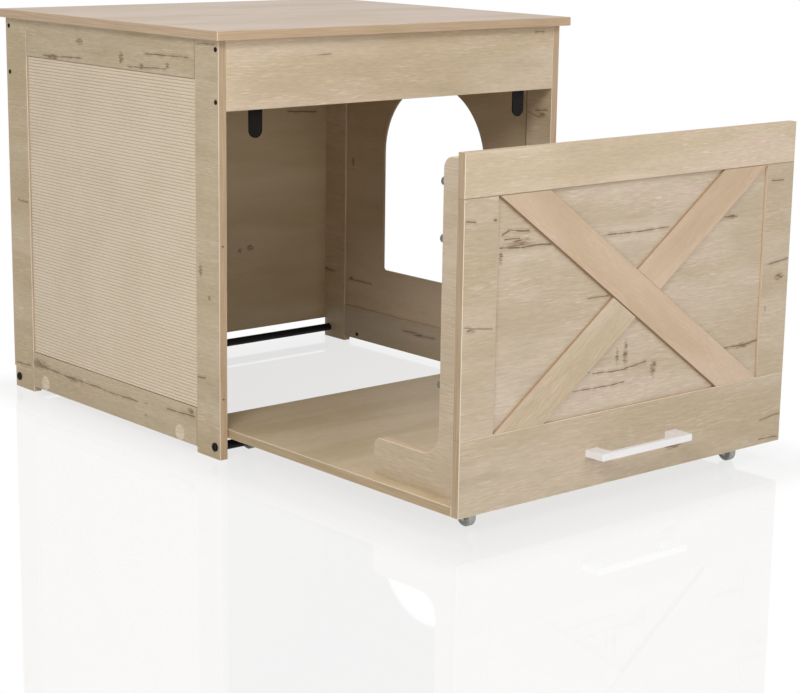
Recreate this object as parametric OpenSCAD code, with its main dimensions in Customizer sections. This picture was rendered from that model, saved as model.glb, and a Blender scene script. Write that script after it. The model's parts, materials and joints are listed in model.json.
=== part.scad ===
// Litter box cabinet with a drawer on casters: framed sides, a cat entry in the
// right side, a scratch mat in the left one and a tray that rolls out on the floor.
// Millimetres. The floor is z = 0, x = 0 is the middle of the width, -Y is the front,
// and y = 0 is the middle of the depth with the drawer pulled out as stored.

/* [Cabinet] */
// Width over the outer faces of the two side frames
cab_w = 600; // [540:1:800]
// Depth of the side frames, front edge to rear edge
cab_d = 522; // [490:1:640]
// Height of the side frames, floor to the underside of the top
cab_h = 545; // [500:1:700]
// Thickness of the boards
board_t = 12; // [11:0.5:15]
// Thickness of the thin panels inside the frames
panel_t = 4; // [3:0.5:5]
// Width of the stiles of all frames
stile_w = 52; // [44:1:64]
// Height of the rails of the side frames and of the drawer's upper rail
rail_h = 52; // [44:1:64]
// Height of the gap between the floor and the bottom rails
foot_h = 8; // [4:1:9]
// How far a panel's edge sits in its frame
groove_d = 5; // [3:0.5:6]

/* [Top board] */
// Thickness of the top board
top_t = 12; // [12:0.5:20]
// Overhang past each side
top_side = 10; // [4:1:25]
// Overhang past the front
top_front = 12; // [4:1:20]

/* [Apron and back] */
// Height of the apron above the drawer, and of the rail at the back
apron_h = 90; // [80:1:120]
// Thickness of the back panel
back_t = 5; // [3:0.5:6]
// Height of the back panel's lower edge above the floor
back_low = 30; // [24:1:60]
// Distance of the back panel's upright edges from the outer faces of the sides
back_in = 1; // [0.5:0.5:3]

/* [Cat entry] */
// Width of the arched entry
arch_w = 234; // [180:1:300]
// Height of its sill above the floor
arch_low = 132; // [95:1:160]
// Height of the entry from the sill to the crown
arch_h = 308; // [240:1:320]
// Radius of its two lower corners
arch_r = 5; // [2:1:12]

/* [Scratch mat] */
// Thickness of the woven mat
mat_t = 3.2; // [2:0.1:3.8]

/* [Tubes and stops] */
// Diameter of the tie tube at the back and of the two front stubs
tube_d = 12; // [10:1:14]
// Distance of a tube's axis from the edge of the side
tube_in = 11; // [9:1:14]
// Height of a tube's axis above the floor
tube_z = 16; // [14:1:18]
// Length of a front stub
stub_l = 41; // [20:1:43]
// Distance of the front spare tube hole from the side's front edge
spare_front = 92; // [78:1:120]
// Distance of the rear spare tube hole from the side's rear edge
spare_rear = 85; // [78:1:120]
// Diameter of the stick-on discs over the spare holes
cover_d = 21; // [14:1:22]
// Width of a stop plate behind the apron
stop_w = 21; // [15:1:26]
// How far a stop plate reaches below the apron
stop_drop = 38; // [20:1:60]
// Thickness of a stop plate
stop_t = 2; // [1.5:0.5:3]
// Distance of a stop plate's middle line from the inner face of the side
stop_in = 55; // [50:1:80]

/* [Drawer] */
// Gap between the drawer and each side
drawer_gap = 2; // [1:0.5:4]
// Gap between the drawer front and the apron
apron_gap = 5; // [2:0.5:8]
// Gap between the tray and the back panel when the drawer is shut
tray_gap = 6; // [3:0.5:20]
// Height of the drawer front's lower rail
low_rail_h = 92; // [80:1:120]
// Width of a brace, measured level along the frame
brace_cut = 82; // [50:1:110]
// How far the drawer is pulled out as stored
pull_out = 447; // [380:1:450]

/* [Gussets] */
// Distance of a gusset's outer face from the tray's edge
gusset_in = 20; // [16:1:22]
// Width of a gusset's two legs
gusset_leg = 46; // [34:1:56]
// Length of its foot along the tray
gusset_reach = 163; // [130:1:220]
// Distance of its upper end below the drawer front's upper edge
gusset_drop = 10; // [4:1:24]
// Radius of the inner corner
gusset_in_r = 28; // [10:1:40]
// Radius of the upper corner
gusset_top_r = 15; // [5:1:25]
// Radius of the foot's rear corner
gusset_toe_r = 12; // [5:1:20]

/* [Handle] */
// Distance between the handle's two screws
handle_cc = 141; // [96:1:192]
// How far the handle stands out from the drawer front
handle_out = 29; // [20:1:40]
// Height of the bar's section
handle_h = 9; // [7:0.5:12]
// Depth of the bar's section
handle_t = 7; // [5:0.5:9]
// Width of a handle leg where it meets the drawer front
handle_leg = 20; // [12:0.5:24]
// How far a leg leans inwards from the drawer front to the bar
handle_lean = 1; // [0:0.5:8]
// Height of the handle's middle above the drawer front's lower edge
handle_z = 44; // [30:1:60]

/* [Casters] */
// Diameter of a caster wheel
wheel_d = 24; // [20:1:26]
// Width of a caster wheel
wheel_w = 11; // [8:0.5:12]
// Gap between the wheel and the plate above it
wheel_gap = 2; // [1.5:0.5:4]
// Thickness of the caster's plate
plate_t = 2; // [1.5:0.5:2.5]
// Thickness of the fork's sides
fork_t = 1.5; // [1:0.5:2]
// Diameter of the axle
axle_d = 4; // [3:0.5:5]
// Distance of a caster's middle from the drawer's sides
caster_x = 53; // [50:1:80]
// Distance of a caster's middle from the drawer's front face and from the tray's end
caster_y = 43; // [36:1:60]

/* [Hidden] */
$fn = 48;

// colours
oak = [0.78, 0.71, 0.60];
oak_inside = [0.72, 0.64, 0.53];
oak_pink = [0.80, 0.70, 0.58];
sisal = [0.82, 0.76, 0.66];
black = [0.13, 0.13, 0.14];
grey = [0.55, 0.56, 0.55];
steel = [0.66, 0.67, 0.68];
white = [0.92, 0.90, 0.88];
beech = [0.80, 0.66, 0.46];

// fits: the gap of a glued or seated piece, of a shank in its hole, of an axle in the
// wheel and in the fork, and how far a cut runs past a face
seat_gap = 0.1;
shank_gap = 0.05;
run_gap = 0.05;
press_gap = 0.02;
eps = 0.5;

// overall places: the handle's front and the back screws' heads end the depth
pan_h = 2;
pan_r = 3.5;
depth_all = pull_out + handle_out + cab_d + back_t + pan_h;
front_y = pull_out + handle_out - depth_all / 2;
left_x = -cab_w / 2;
inner_x = cab_w / 2 - board_t;

// dowels, screws and panels sit in the middle of a board's thickness
mid = board_t / 2;
panel_in = (board_t - panel_t) / 2;
bottom_rail_top = foot_h + rail_h;
top_rail_low = cab_h - rail_h;
apron_low = cab_h - apron_h;

// drawer: its own corner is the lower left corner of its front face
caster_h = wheel_d + wheel_gap + plate_t;
drawer_w = cab_w - 2 * board_t - 2 * drawer_gap;
drawer_h = apron_low - apron_gap - caster_h;
drawer_l = cab_d - tray_gap;
drawer_x = -drawer_w / 2;
drawer_y = front_y - pull_out;
upper_rail_low = drawer_h - rail_h;

// dowels: radius, length, distance from the middle of a rail, wood left before a tray
// dowel, and the tray dowels' places as shares of the drawer's width
dowel_r = 3;
dowel_l = 30;
dowel_off = rail_h / 4;
dowel_cover = 4;
tray_dowel_shares = [0.18, 0.38, 0.62, 0.82];

// screw heads: the rim and the top as shares of the head's height and radius, and the
// cross recess as shares of the radius (length, width) and of the height (depth)
head_rim = 0.6;
head_top = 0.8;
cross_l = 1.1;
cross_w = 0.26;
cross_deep = 0.5;

// socket bolts: the head's chamfer, and the socket's radius and depth as shares of the head's
socket_rim = 0.5;
socket_wide = 0.58;
socket_deep = 0.5;

// screws through the sides into the apron and the rear rail, and their distance from its edges
screw_r = 2.5;
screw_l = 40;
screw_head_r = 3.2;
screw_head_h = 0.8;
screw_end = 12;

// tube bolts
bolt_r = 3;
bolt_l = 34;
bolt_head_r = 5.8;
bolt_head_h = 2.5;

// back panel screws: how far they reach into a stile, and the lowest and the highest one's
// distance from the panel's edges
pin_r = 1.5;
back_pin_l = 18;
back_pin_low = 20;
back_pin_high = 40;
back_pin_last = 3;

// discs over the spare holes: thickness, and how far their middle lies above the hole's
cover_t = 0.6;
cover_rise = 3;

// cams of the top board: their distance down from the top and along from the stile
cam_r = 7.5;
cam_h = 8;
cam_low = 22;
cam_in = 62;
cam_slot_r = 5.2;
cam_slot_deep = 1.5;
cam_bolt_r = 3;
cam_pin_r = 2.5;
cam_bolt_in = 8;

// stop plates behind the apron: length above its lower edge, and their screws
stop_up = 52;
stop_pin_l = 9;
stop_screw_low = 18;
stop_screw_high = 38;

// pilot holes in the front edge of a side
pilot_r = 1.5;
pilot_d = 10;
pilot_low = 81;
pilot_high = 283;

// gussets: bolts into the drawer front (the lowest one's height above the front's lower
// edge, the others' distance below the gusset's top) and screws up through the tray, at
// two distances behind the drawer front
gusset_bolt_in = 10;
gusset_bolt_low = 144;
gusset_bolt_mid = 96;
gusset_bolt_high = 30;
gusset_head_r = 5;
gusset_head_h = 6;
gusset_screw_l = 34;
gusset_pin_r = 2;
gusset_foot_ys = [62, 138];

// handle: screws, and how much wider a leg is at the bar
handle_screw_l = 22;
handle_screw_r = 2;
handle_flare = 0.5;

// caster plates and forks
plate_w = 32;
plate_l = 28;
fork_gap = 0.5;
fork_drop = 4.5;
plate_screw_x = 11.5;
plate_screw_y = 9.5;
plate_screw_l = 9;
plate_head_r = 2.8;
plate_head_h = 1.2;
axle_head = 1;

// caster wheels: width and height of the tread's chamfer, depth of the dish, walls of
// the hub and of the tread
wheel_soft = 2;
wheel_fall = 1.4;
wheel_dish = 1.2;
hub_wall = 2.2;
tread_wall = 3.5;

// places that several pieces share: heights and distances from a side's front edge
tube_ys = [tube_in, cab_d - tube_in];
spare_ys = [spare_front, cab_d - spare_rear];
cam_ys = [stile_w + cam_in, cab_d - stile_w - cam_in];
apron_zs = [apron_low + screw_end, cab_h - screw_end];
back_pin_step = (cab_h - back_low - back_pin_low - back_pin_high) / back_pin_last;
back_zs = [for (k = [0:back_pin_last]) back_low + back_pin_low + k * back_pin_step];
rail_mids = [foot_h + rail_h / 2, cab_h - rail_h / 2];
gusset_x = gusset_in + mid;
gusset_top = drawer_h - gusset_drop;
gusset_bolt_zs = [gusset_bolt_low, gusset_top - gusset_bolt_mid, gusset_top - gusset_bolt_high];
axle_z = -plate_t - wheel_gap - wheel_d / 2;
fork_x = wheel_w / 2 + fork_gap;

// the dowels of one side, as [y of the joint, z]
dowel_spots = [for (y = [stile_w, cab_d - stile_w], z = rail_mids, s = [-1, 1])
  [y, z + s * dowel_off]];

// the back panel's screws, up both rear stiles and along the rear rail, as [x, z]
back_screw_spots = concat(
  [for (s = [-1, 1], z = back_zs) [s * (-left_x - mid), z]],
  [for (s = [-1, 0, 1]) [s * cab_w / 4, cab_h - apron_h / 2]]);

// the stop plates' screws, as [x, z]
stop_spots = [for (s = [-1, 1], up = [stop_screw_low, stop_screw_high])
  [s * (inner_x - stop_in), apron_low + up]];

// the dowels between the drawer front's stiles and rails, as [x, z of the joint]
drawer_dowel_spots = [for (x = [stile_w / 2, drawer_w - stile_w / 2], s = [-1, 1],
  z = [low_rail_h, upper_rail_low]) [x + s * stile_w / 4, z]];

// the casters' middles and their plates' screws, as [x, y] from the drawer's corner
caster_spots = [
  [caster_x, caster_y], [drawer_w - caster_x, caster_y],
  [caster_x, drawer_l - caster_y], [drawer_w - caster_x, drawer_l - caster_y]
];
plate_screw_spots = [for (c = caster_spots, i = [-1, 1], j = [-1, 1])
  [c[0] + i * plate_screw_x, c[1] + j * plate_screw_y]];

// a board from one corner to the opposite one
module board(from, to) {
  translate(from) cube(to - from);
}

// a round piece or hole along X, Y or Z, from a point, over a length
module rod_x(at, r, l) {
  translate(at) rotate([0, 90, 0]) cylinder(r = r, h = l);
}
module rod_y(at, r, l) {
  translate(at) rotate([-90, 0, 0]) cylinder(r = r, h = l);
}
module rod_z(at, r, l) {
  translate(at) cylinder(r = r, h = l);
}

// the cross recess of a screw head, cut down from its top at z = 0
module cross_recess(r, deep) {
  for (turn = [0, 90]) rotate([0, 0, turn])
    board([-r * cross_l / 2, -r * cross_w / 2, -deep], [r * cross_l / 2, r * cross_w / 2, eps]);
}

// a screw or bolt whose shank runs down from z = 0 and whose flat head lies above
module flat_screw(r, l, head_r, head_h) {
  difference() {
    union() {
      translate([0, 0, -l]) cylinder(r = r, h = l + head_h / 2);
      cylinder(r = head_r, h = head_h * head_rim);
      cylinder(r1 = head_r, r2 = head_r * head_top, h = head_h);
    }
    translate([0, 0, head_h]) cross_recess(head_r, head_h * cross_deep);
  }
}

// the same with a tall round head and a six-sided socket
module socket_bolt(r, l, head_r, head_h) {
  difference() {
    union() {
      translate([0, 0, -l]) cylinder(r = r, h = l + head_h / 2);
      cylinder(r = head_r, h = head_h - socket_rim);
      translate([0, 0, head_h - socket_rim])
        cylinder(r1 = head_r, r2 = head_r - socket_rim, h = socket_rim);
    }
    translate([0, 0, head_h * (1 - socket_deep)])
      cylinder(r = head_r * socket_wide, h = head_h * socket_deep + eps, $fn = 6);
  }
}

// takes a square corner off and leaves a round one: the corner is at the origin,
// and the board lies towards sx, sy
module round_corner_cut(r, sx, sy) {
  scale([sx, sy]) difference() {
    translate([-eps, -eps]) square(r + eps);
    translate([r, r]) circle(r = r);
  }
}

// The cabinet. Each side is drawn as the left one, outer face at x = 0, front edge at y = 0

module on_left() {
  translate([left_x, front_y, 0]) children();
}
module on_right() {
  translate([-left_x, front_y, 0]) mirror([1, 0, 0]) children();
}

module side_dowel_set(r, extra) {
  for (s = dowel_spots)
    rod_y([mid, s[0] - dowel_l / 2 - extra, s[1]], r, dowel_l + 2 * extra);
}

module side_panel_slab(gap) {
  board([panel_in - gap, stile_w - groove_d - gap, bottom_rail_top - groove_d - gap],
        [panel_in + panel_t + gap, cab_d - stile_w + groove_d + gap, top_rail_low + groove_d + gap]);
}

// the screws through the stiles into the apron (y = mid) or into the rear rail
module stile_screw_set(y, r, l) {
  for (z = apron_zs) rod_x([-eps, y, z], r, l + eps);
}

module front_stile() {
  difference() {
    board([0, 0, 0], [board_t, stile_w, cab_h]);
    side_panel_slab(seat_gap);
    side_dowel_set(dowel_r + shank_gap, eps);
    stile_screw_set(mid, screw_r + shank_gap, board_t + eps);
    rod_x([-eps, tube_ys[0], tube_z], bolt_r + shank_gap, board_t + 2 * eps);
    for (z = [pilot_low, pilot_high]) rod_y([mid, -eps, z], pilot_r, pilot_d + eps);
  }
}

module rear_stile() {
  difference() {
    board([0, cab_d - stile_w, 0], [board_t, cab_d, cab_h]);
    side_panel_slab(seat_gap);
    side_dowel_set(dowel_r + shank_gap, eps);
    stile_screw_set(cab_d - mid, screw_r + shank_gap, board_t + eps);
    rod_x([-eps, tube_ys[1], tube_z], bolt_r + shank_gap, board_t + 2 * eps);
    for (z = back_zs) rod_y([mid, cab_d - back_pin_l, z], pin_r + shank_gap, back_pin_l + eps);
  }
}

// top rail, with the pockets of the two cams that hold the top board
module side_top_rail() {
  difference() {
    board([0, stile_w, top_rail_low], [board_t, cab_d - stile_w, cab_h]);
    side_panel_slab(seat_gap);
    side_dowel_set(dowel_r + shank_gap, eps);
    for (y = cam_ys) {
      rod_x([board_t - cam_h, y, cab_h - cam_low], cam_r + seat_gap, cam_h + eps);
      rod_z([mid, y, cab_h - cam_low], cam_bolt_r + seat_gap, cam_low + eps);
    }
  }
}

// bottom rail, with the spare tube holes
module side_bottom_rail() {
  difference() {
    board([0, stile_w, foot_h], [board_t, cab_d - stile_w, bottom_rail_top]);
    side_panel_slab(seat_gap);
    side_dowel_set(dowel_r + shank_gap, eps);
    for (y = spare_ys) rod_x([-eps, y, tube_z], bolt_r + shank_gap, board_t + 2 * eps);
  }
}

// the outline of the cat entry, y across and z up
module arch_outline() {
  spring = arch_low + arch_h - arch_w / 2;
  mid_y = cab_d / 2;
  difference() {
    union() {
      translate([mid_y - arch_w / 2, arch_low]) square([arch_w, spring - arch_low]);
      translate([mid_y, spring]) circle(r = arch_w / 2, $fn = 96);
    }
    translate([mid_y - arch_w / 2, arch_low]) round_corner_cut(arch_r, 1, 1);
    translate([mid_y + arch_w / 2, arch_low]) round_corner_cut(arch_r, -1, 1);
  }
}

module top_board() {
  color(oak) difference() {
    board([left_x - top_side, front_y - top_front, cab_h],
          [-left_x + top_side, front_y + cab_d + back_t, cab_h + top_t]);
    for (s = [-1, 1], y = cam_ys)
      rod_z([s * (-left_x - mid), front_y + y, cab_h - eps], cam_pin_r + shank_gap,
            cam_bolt_in + eps);
  }
}

module left_front_stile() { color(oak) on_left() front_stile(); }
module left_rear_stile() { color(oak) on_left() rear_stile(); }
module left_top_rail() { color(oak) on_left() side_top_rail(); }
module left_bottom_rail() { color(oak) on_left() side_bottom_rail(); }
module left_panel() { color(oak_inside) on_left() side_panel_slab(0); }

module scratch_mat() {
  color(sisal) on_left()
    board([panel_in - mat_t, stile_w + seat_gap, bottom_rail_top + seat_gap],
          [panel_in, cab_d - stile_w - seat_gap, top_rail_low - seat_gap]);
}

module right_front_stile() { color(oak) on_right() front_stile(); }
module right_rear_stile() { color(oak) on_right() rear_stile(); }
module right_top_rail() { color(oak) on_right() side_top_rail(); }
module right_bottom_rail() { color(oak) on_right() side_bottom_rail(); }

module right_panel() {
  color(oak_inside) on_right() difference() {
    side_panel_slab(0);
    translate([panel_in - eps, 0, 0]) rotate([90, 0, 90])
      linear_extrude(panel_t + 2 * eps) arch_outline();
  }
}

module back_panel() {
  color(oak_inside) difference() {
    board([left_x + back_in, front_y + cab_d, back_low],
          [-left_x - back_in, front_y + cab_d + back_t, cab_h]);
    for (s = back_screw_spots)
      rod_y([s[0], front_y + cab_d - eps, s[1]], pin_r + shank_gap, back_t + 2 * eps);
  }
}

// the apron or the rear rail, whose front face lies at y
module cross_board(y) {
  difference() {
    board([-inner_x, y, apron_low], [inner_x, y + board_t, cab_h]);
    for (side = [0, 1]) mirror([side, 0, 0]) translate([left_x, y, 0])
      stile_screw_set(mid, screw_r + shank_gap, screw_l + eps);
  }
}

module front_apron() {
  color(oak) difference() {
    cross_board(front_y);
    for (s = stop_spots)
      rod_y([s[0], front_y + board_t - stop_pin_l, s[1]], pin_r + shank_gap, stop_pin_l + eps);
  }
}

module rear_rail() {
  color(oak) difference() {
    cross_board(front_y + cab_d - board_t);
    for (s = back_screw_spots) if (abs(s[0]) < inner_x)
      rod_y([s[0], front_y + cab_d - board_t / 2, s[1]], pin_r + shank_gap, board_t / 2 + eps);
  }
}

// a steel bar with a tapped end bore
module bar(from_x, to_x, y, bores) {
  difference() {
    rod_x([from_x, y, tube_z], tube_d / 2, to_x - from_x);
    for (b = bores)
      rod_x([b, y, tube_z], bolt_r + shank_gap, bolt_l - board_t + eps);
  }
}

module rear_tube() {
  color(black) bar(-inner_x, inner_x, front_y + tube_ys[1],
    [-inner_x - eps, inner_x - (bolt_l - board_t)]);
}
module left_front_stub() {
  color(black) bar(-inner_x, -inner_x + stub_l, front_y + tube_ys[0], [-inner_x - eps]);
}
module right_front_stub() {
  color(black) mirror([1, 0, 0])
    bar(-inner_x, -inner_x + stub_l, front_y + tube_ys[0], [-inner_x - eps]);
}

// screws that run inwards through a side, at [y, z]
module side_screws(spots) {
  for (side = [0, 1], s = spots) mirror([side, 0, 0])
    translate([left_x, front_y + s[0], s[1]]) rotate([0, -90, 0]) children();
}

module tube_bolts() {
  color(black) side_screws([for (y = tube_ys) [y, tube_z]])
    flat_screw(bolt_r, bolt_l - seat_gap, bolt_head_r, bolt_head_h);
}
module apron_screws() {
  color(black) side_screws([for (z = apron_zs) [mid, z]])
    flat_screw(screw_r, screw_l - seat_gap, screw_head_r, screw_head_h);
}
module rear_rail_screws() {
  color(black) side_screws([for (z = apron_zs) [cab_d - mid, z]])
    flat_screw(screw_r, screw_l - seat_gap, screw_head_r, screw_head_h);
}

module back_panel_screws() {
  color(black) for (s = back_screw_spots) {
    reach = abs(s[0]) < inner_x ? board_t / 2 : back_pin_l;
    translate([s[0], front_y + cab_d + back_t, s[1]]) rotate([-90, 0, 0])
      flat_screw(pin_r, back_t + reach - seat_gap, pan_r, pan_h);
  }
}

module hole_covers() {
  color(oak_pink) side_screws([for (y = spare_ys) [y, tube_z + cover_rise]])
    cylinder(r = cover_d / 2, h = cover_t);
}

// a flat steel tab with a round lower end, screwed to the apron's rear face
module stop_plate(s) {
  tip = apron_low - stop_drop + stop_w / 2;
  translate([s * (inner_x - stop_in), front_y + board_t + stop_t, 0]) rotate([90, 0, 0])
    linear_extrude(stop_t) difference() {
      union() {
        translate([0, tip]) circle(d = stop_w);
        translate([-stop_w / 2, tip]) square([stop_w, apron_low + stop_up - tip]);
      }
      for (up = [stop_screw_low, stop_screw_high])
        translate([0, apron_low + up]) circle(r = pin_r + shank_gap);
    }
}
module left_stop_plate() { color(black) stop_plate(-1); }
module right_stop_plate() { color(black) stop_plate(1); }
module stop_plate_screws() {
  color(black) for (s = stop_spots)
    translate([s[0], front_y + board_t + stop_t, s[1]]) rotate([-90, 0, 0])
      flat_screw(pin_r, stop_pin_l + stop_t - seat_gap, pan_r, pan_h);
}

module side_dowels() {
  color(beech) {
    on_left() side_dowel_set(dowel_r, 0);
    on_right() side_dowel_set(dowel_r, 0);
  }
}

// cams in the top rails and their bolts up into the top board
module each_cam() {
  for (side = [0, 1], y = cam_ys) mirror([side, 0, 0])
    translate([left_x, front_y + y, cab_h - cam_low]) children();
}
module top_cams() {
  color(steel) each_cam() difference() {
    rod_x([board_t - cam_h, 0, 0], cam_r, cam_h);
    rod_z([mid, 0, 0], cam_bolt_r + seat_gap, cam_r + eps);
    translate([board_t, 0, 0]) rotate([0, 90, 0]) cross_recess(cam_slot_r, cam_slot_deep);
  }
}
module top_cam_bolts() {
  color(steel) each_cam() {
    rod_z([mid, 0, seat_gap], cam_bolt_r, cam_low - seat_gap);
    rod_z([mid, 0, cam_low], cam_pin_r, cam_bolt_in - seat_gap);
  }
}

// The drawer, drawn with the lower left corner of its front face at the origin

module on_drawer() {
  translate([drawer_x, drawer_y, caster_h]) children();
}

module drawer_dowel_set(r, extra) {
  for (s = drawer_dowel_spots)
    rod_z([s[0], mid, s[1] - dowel_l / 2 - extra], r, dowel_l + 2 * extra);
}
module tray_dowel_set(r, extra) {
  for (share = tray_dowel_shares)
    rod_y([drawer_w * share, dowel_cover - extra, mid], r, dowel_l + 2 * extra);
}

module drawer_field(gap) {
  board([stile_w - groove_d - gap, panel_in - gap, low_rail_h - groove_d - gap],
        [drawer_w - stile_w + groove_d + gap, panel_in + panel_t + gap,
         upper_rail_low + groove_d + gap]);
}

// the gussets' bolts run forward into the drawer front
module gusset_bolt_holes() {
  for (x = [gusset_x, drawer_w - gusset_x], z = gusset_bolt_zs)
    rod_y([x, board_t - gusset_bolt_in, z], screw_r + shank_gap, gusset_bolt_in + eps);
}

module drawer_rail(low, high) {
  difference() {
    board([0, 0, low], [drawer_w, board_t, high]);
    drawer_field(seat_gap);
    drawer_dowel_set(dowel_r + shank_gap, eps);
    gusset_bolt_holes();
  }
}

module drawer_top_rail() { color(oak) on_drawer() drawer_rail(upper_rail_low, drawer_h); }

module handle_spots() {
  for (s = [-1, 1]) translate([drawer_w / 2 + s * handle_cc / 2, 0, handle_z]) children();
}

module drawer_bottom_rail() {
  color(oak) on_drawer() difference() {
    drawer_rail(0, low_rail_h);
    tray_dowel_set(dowel_r + shank_gap, seat_gap);
    handle_spots() rod_y([0, -eps, 0], handle_screw_r + shank_gap, board_t + 2 * eps);
  }
}

module drawer_stile(x) {
  difference() {
    board([x, 0, low_rail_h], [x + stile_w, board_t, upper_rail_low]);
    drawer_field(seat_gap);
    drawer_dowel_set(dowel_r + shank_gap, eps);
    gusset_bolt_holes();
  }
}
module drawer_left_stile() { color(oak) on_drawer() drawer_stile(0); }
module drawer_right_stile() { color(oak) on_drawer() drawer_stile(drawer_w - stile_w); }
module drawer_panel() { color(oak_inside) on_drawer() drawer_field(0); }

// the long brace from the upper left to the lower right corner of the field
module brace_outline() {
  low = low_rail_h + seat_gap;
  high = upper_rail_low - seat_gap;
  near = stile_w + seat_gap;
  far = drawer_w - stile_w - seat_gap;
  polygon([[near, high], [near + brace_cut, high], [far, low], [far - brace_cut, low]]);
}
module brace_board() {
  translate([0, panel_in, 0]) rotate([90, 0, 0]) linear_extrude(panel_in) children();
}

// the other brace, one half above the long one and one below it
module brace_half(upper) {
  mid_z = (low_rail_h + upper_rail_low) / 2;
  brace_board() difference() {
    translate([drawer_w, 0]) mirror([1, 0]) brace_outline();
    brace_outline();
    translate([0, upper ? mid_z - drawer_h : mid_z]) square([drawer_w, drawer_h]);
  }
}
module brace_long() { color(oak_pink) on_drawer() brace_board() brace_outline(); }
module brace_upper() { color(oak) on_drawer() brace_half(true); }
module brace_lower() { color(oak) on_drawer() brace_half(false); }

// the screws up through the tray into the feet of the gussets
module gusset_foot_set(r, from_z, l) {
  for (x = [gusset_x, drawer_w - gusset_x], y = gusset_foot_ys)
    rod_z([x, board_t + y, from_z], r, l);
}

module tray_board() {
  color(oak) on_drawer() difference() {
    board([0, board_t, 0], [drawer_w, drawer_l, board_t]);
    tray_dowel_set(dowel_r + shank_gap, seat_gap);
    gusset_foot_set(gusset_pin_r + shank_gap, -eps, board_t + 2 * eps);
    for (s = plate_screw_spots)
      rod_z([s[0], s[1], -eps], pin_r + shank_gap, plate_screw_l - plate_t + eps);
  }
}

// an L-shaped bracket of board between the tray and the drawer front
module gusset_outline() {
  top = gusset_top - board_t;
  difference() {
    union() {
      square([gusset_leg, top]);
      square([gusset_reach, gusset_leg]);
      translate([gusset_leg, gusset_leg]) difference() {
        square(gusset_in_r);
        translate([gusset_in_r, gusset_in_r]) circle(r = gusset_in_r);
      }
    }
    translate([gusset_leg, top]) round_corner_cut(gusset_top_r, -1, -1);
    translate([gusset_reach, gusset_leg]) round_corner_cut(gusset_toe_r, -1, -1);
  }
}
module gusset(x) {
  difference() {
    translate([x, board_t, board_t]) rotate([90, 0, 90]) linear_extrude(board_t) gusset_outline();
    for (z = gusset_bolt_zs)
      rod_y([x + board_t / 2, board_t - eps, z], screw_r + shank_gap, gusset_leg + 2 * eps);
    gusset_foot_set(gusset_pin_r + shank_gap, board_t - eps, gusset_screw_l - board_t + eps);
  }
}
module left_gusset() { color(oak) on_drawer() gusset(gusset_in); }
module right_gusset() { color(oak) on_drawer() gusset(drawer_w - gusset_in - board_t); }

module gusset_bolts() {
  color(grey) on_drawer() for (x = [gusset_x, drawer_w - gusset_x], z = gusset_bolt_zs)
    translate([x, board_t + gusset_leg, z]) rotate([-90, 0, 0])
      socket_bolt(screw_r, gusset_leg + gusset_bolt_in - seat_gap, gusset_head_r, gusset_head_h);
}
module gusset_screws() {
  color(black) on_drawer() for (x = [gusset_x, drawer_w - gusset_x], y = gusset_foot_ys)
    translate([x, board_t + y, 0]) rotate([180, 0, 0])
      flat_screw(gusset_pin_r, gusset_screw_l - seat_gap, pan_r, pan_h);
}

module drawer_dowels() { color(beech) on_drawer() drawer_dowel_set(dowel_r, 0); }
module tray_dowels() { color(beech) on_drawer() tray_dowel_set(dowel_r, 0); }

// a bar handle with flat legs that lean a little inwards, seen from above: x across, y out
module handle_outline() {
  half = handle_cc / 2 + handle_leg / 2;
  front = half - handle_lean;
  inside = front - handle_leg - handle_flare;
  polygon([
    [-half, 0], [-half + handle_leg, 0], [-inside, -handle_out + handle_t],
    [inside, -handle_out + handle_t], [half - handle_leg, 0], [half, 0],
    [front, -handle_out], [-front, -handle_out]
  ]);
}
module handle() {
  color(white) on_drawer() difference() {
    translate([drawer_w / 2, 0, handle_z - handle_h / 2]) linear_extrude(handle_h) handle_outline();
    handle_spots() rod_y([0, board_t - handle_screw_l, 0], handle_screw_r + shank_gap,
                         handle_screw_l - board_t + eps);
  }
}
module handle_screws() {
  color(black) on_drawer() handle_spots() translate([0, board_t, 0]) rotate([-90, 0, 0])
    flat_screw(handle_screw_r, handle_screw_l - seat_gap, pan_r, pan_h);
}

// The casters, drawn with the plate's upper face at z = 0 and the wheel's middle below it

module at_caster(k) {
  on_drawer() translate([caster_spots[k][0], caster_spots[k][1], 0]) children();
}

module fork_side(x) {
  difference() {
    translate([x, 0, 0]) rotate([90, 0, 90]) linear_extrude(fork_t) {
      translate([0, axle_z]) circle(r = fork_drop);
      translate([-fork_drop, axle_z]) square([2 * fork_drop, -axle_z - plate_t / 2]);
    }
    rod_x([x - eps, 0, axle_z], axle_d / 2 + press_gap, fork_t + 2 * eps);
  }
}

module caster_fork(k) {
  color(steel) at_caster(k) {
    difference() {
      board([-plate_w / 2, -plate_l / 2, -plate_t], [plate_w / 2, plate_l / 2, 0]);
      for (i = [-1, 1], j = [-1, 1])
        rod_z([i * plate_screw_x, j * plate_screw_y, -plate_t - eps], pin_r + shank_gap,
              plate_t + 2 * eps);
    }
    fork_side(fork_x);
    fork_side(-fork_x - fork_t);
  }
}
module caster_fork_fl() { caster_fork(0); }
module caster_fork_fr() { caster_fork(1); }
module caster_fork_rl() { caster_fork(2); }
module caster_fork_rr() { caster_fork(3); }

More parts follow.
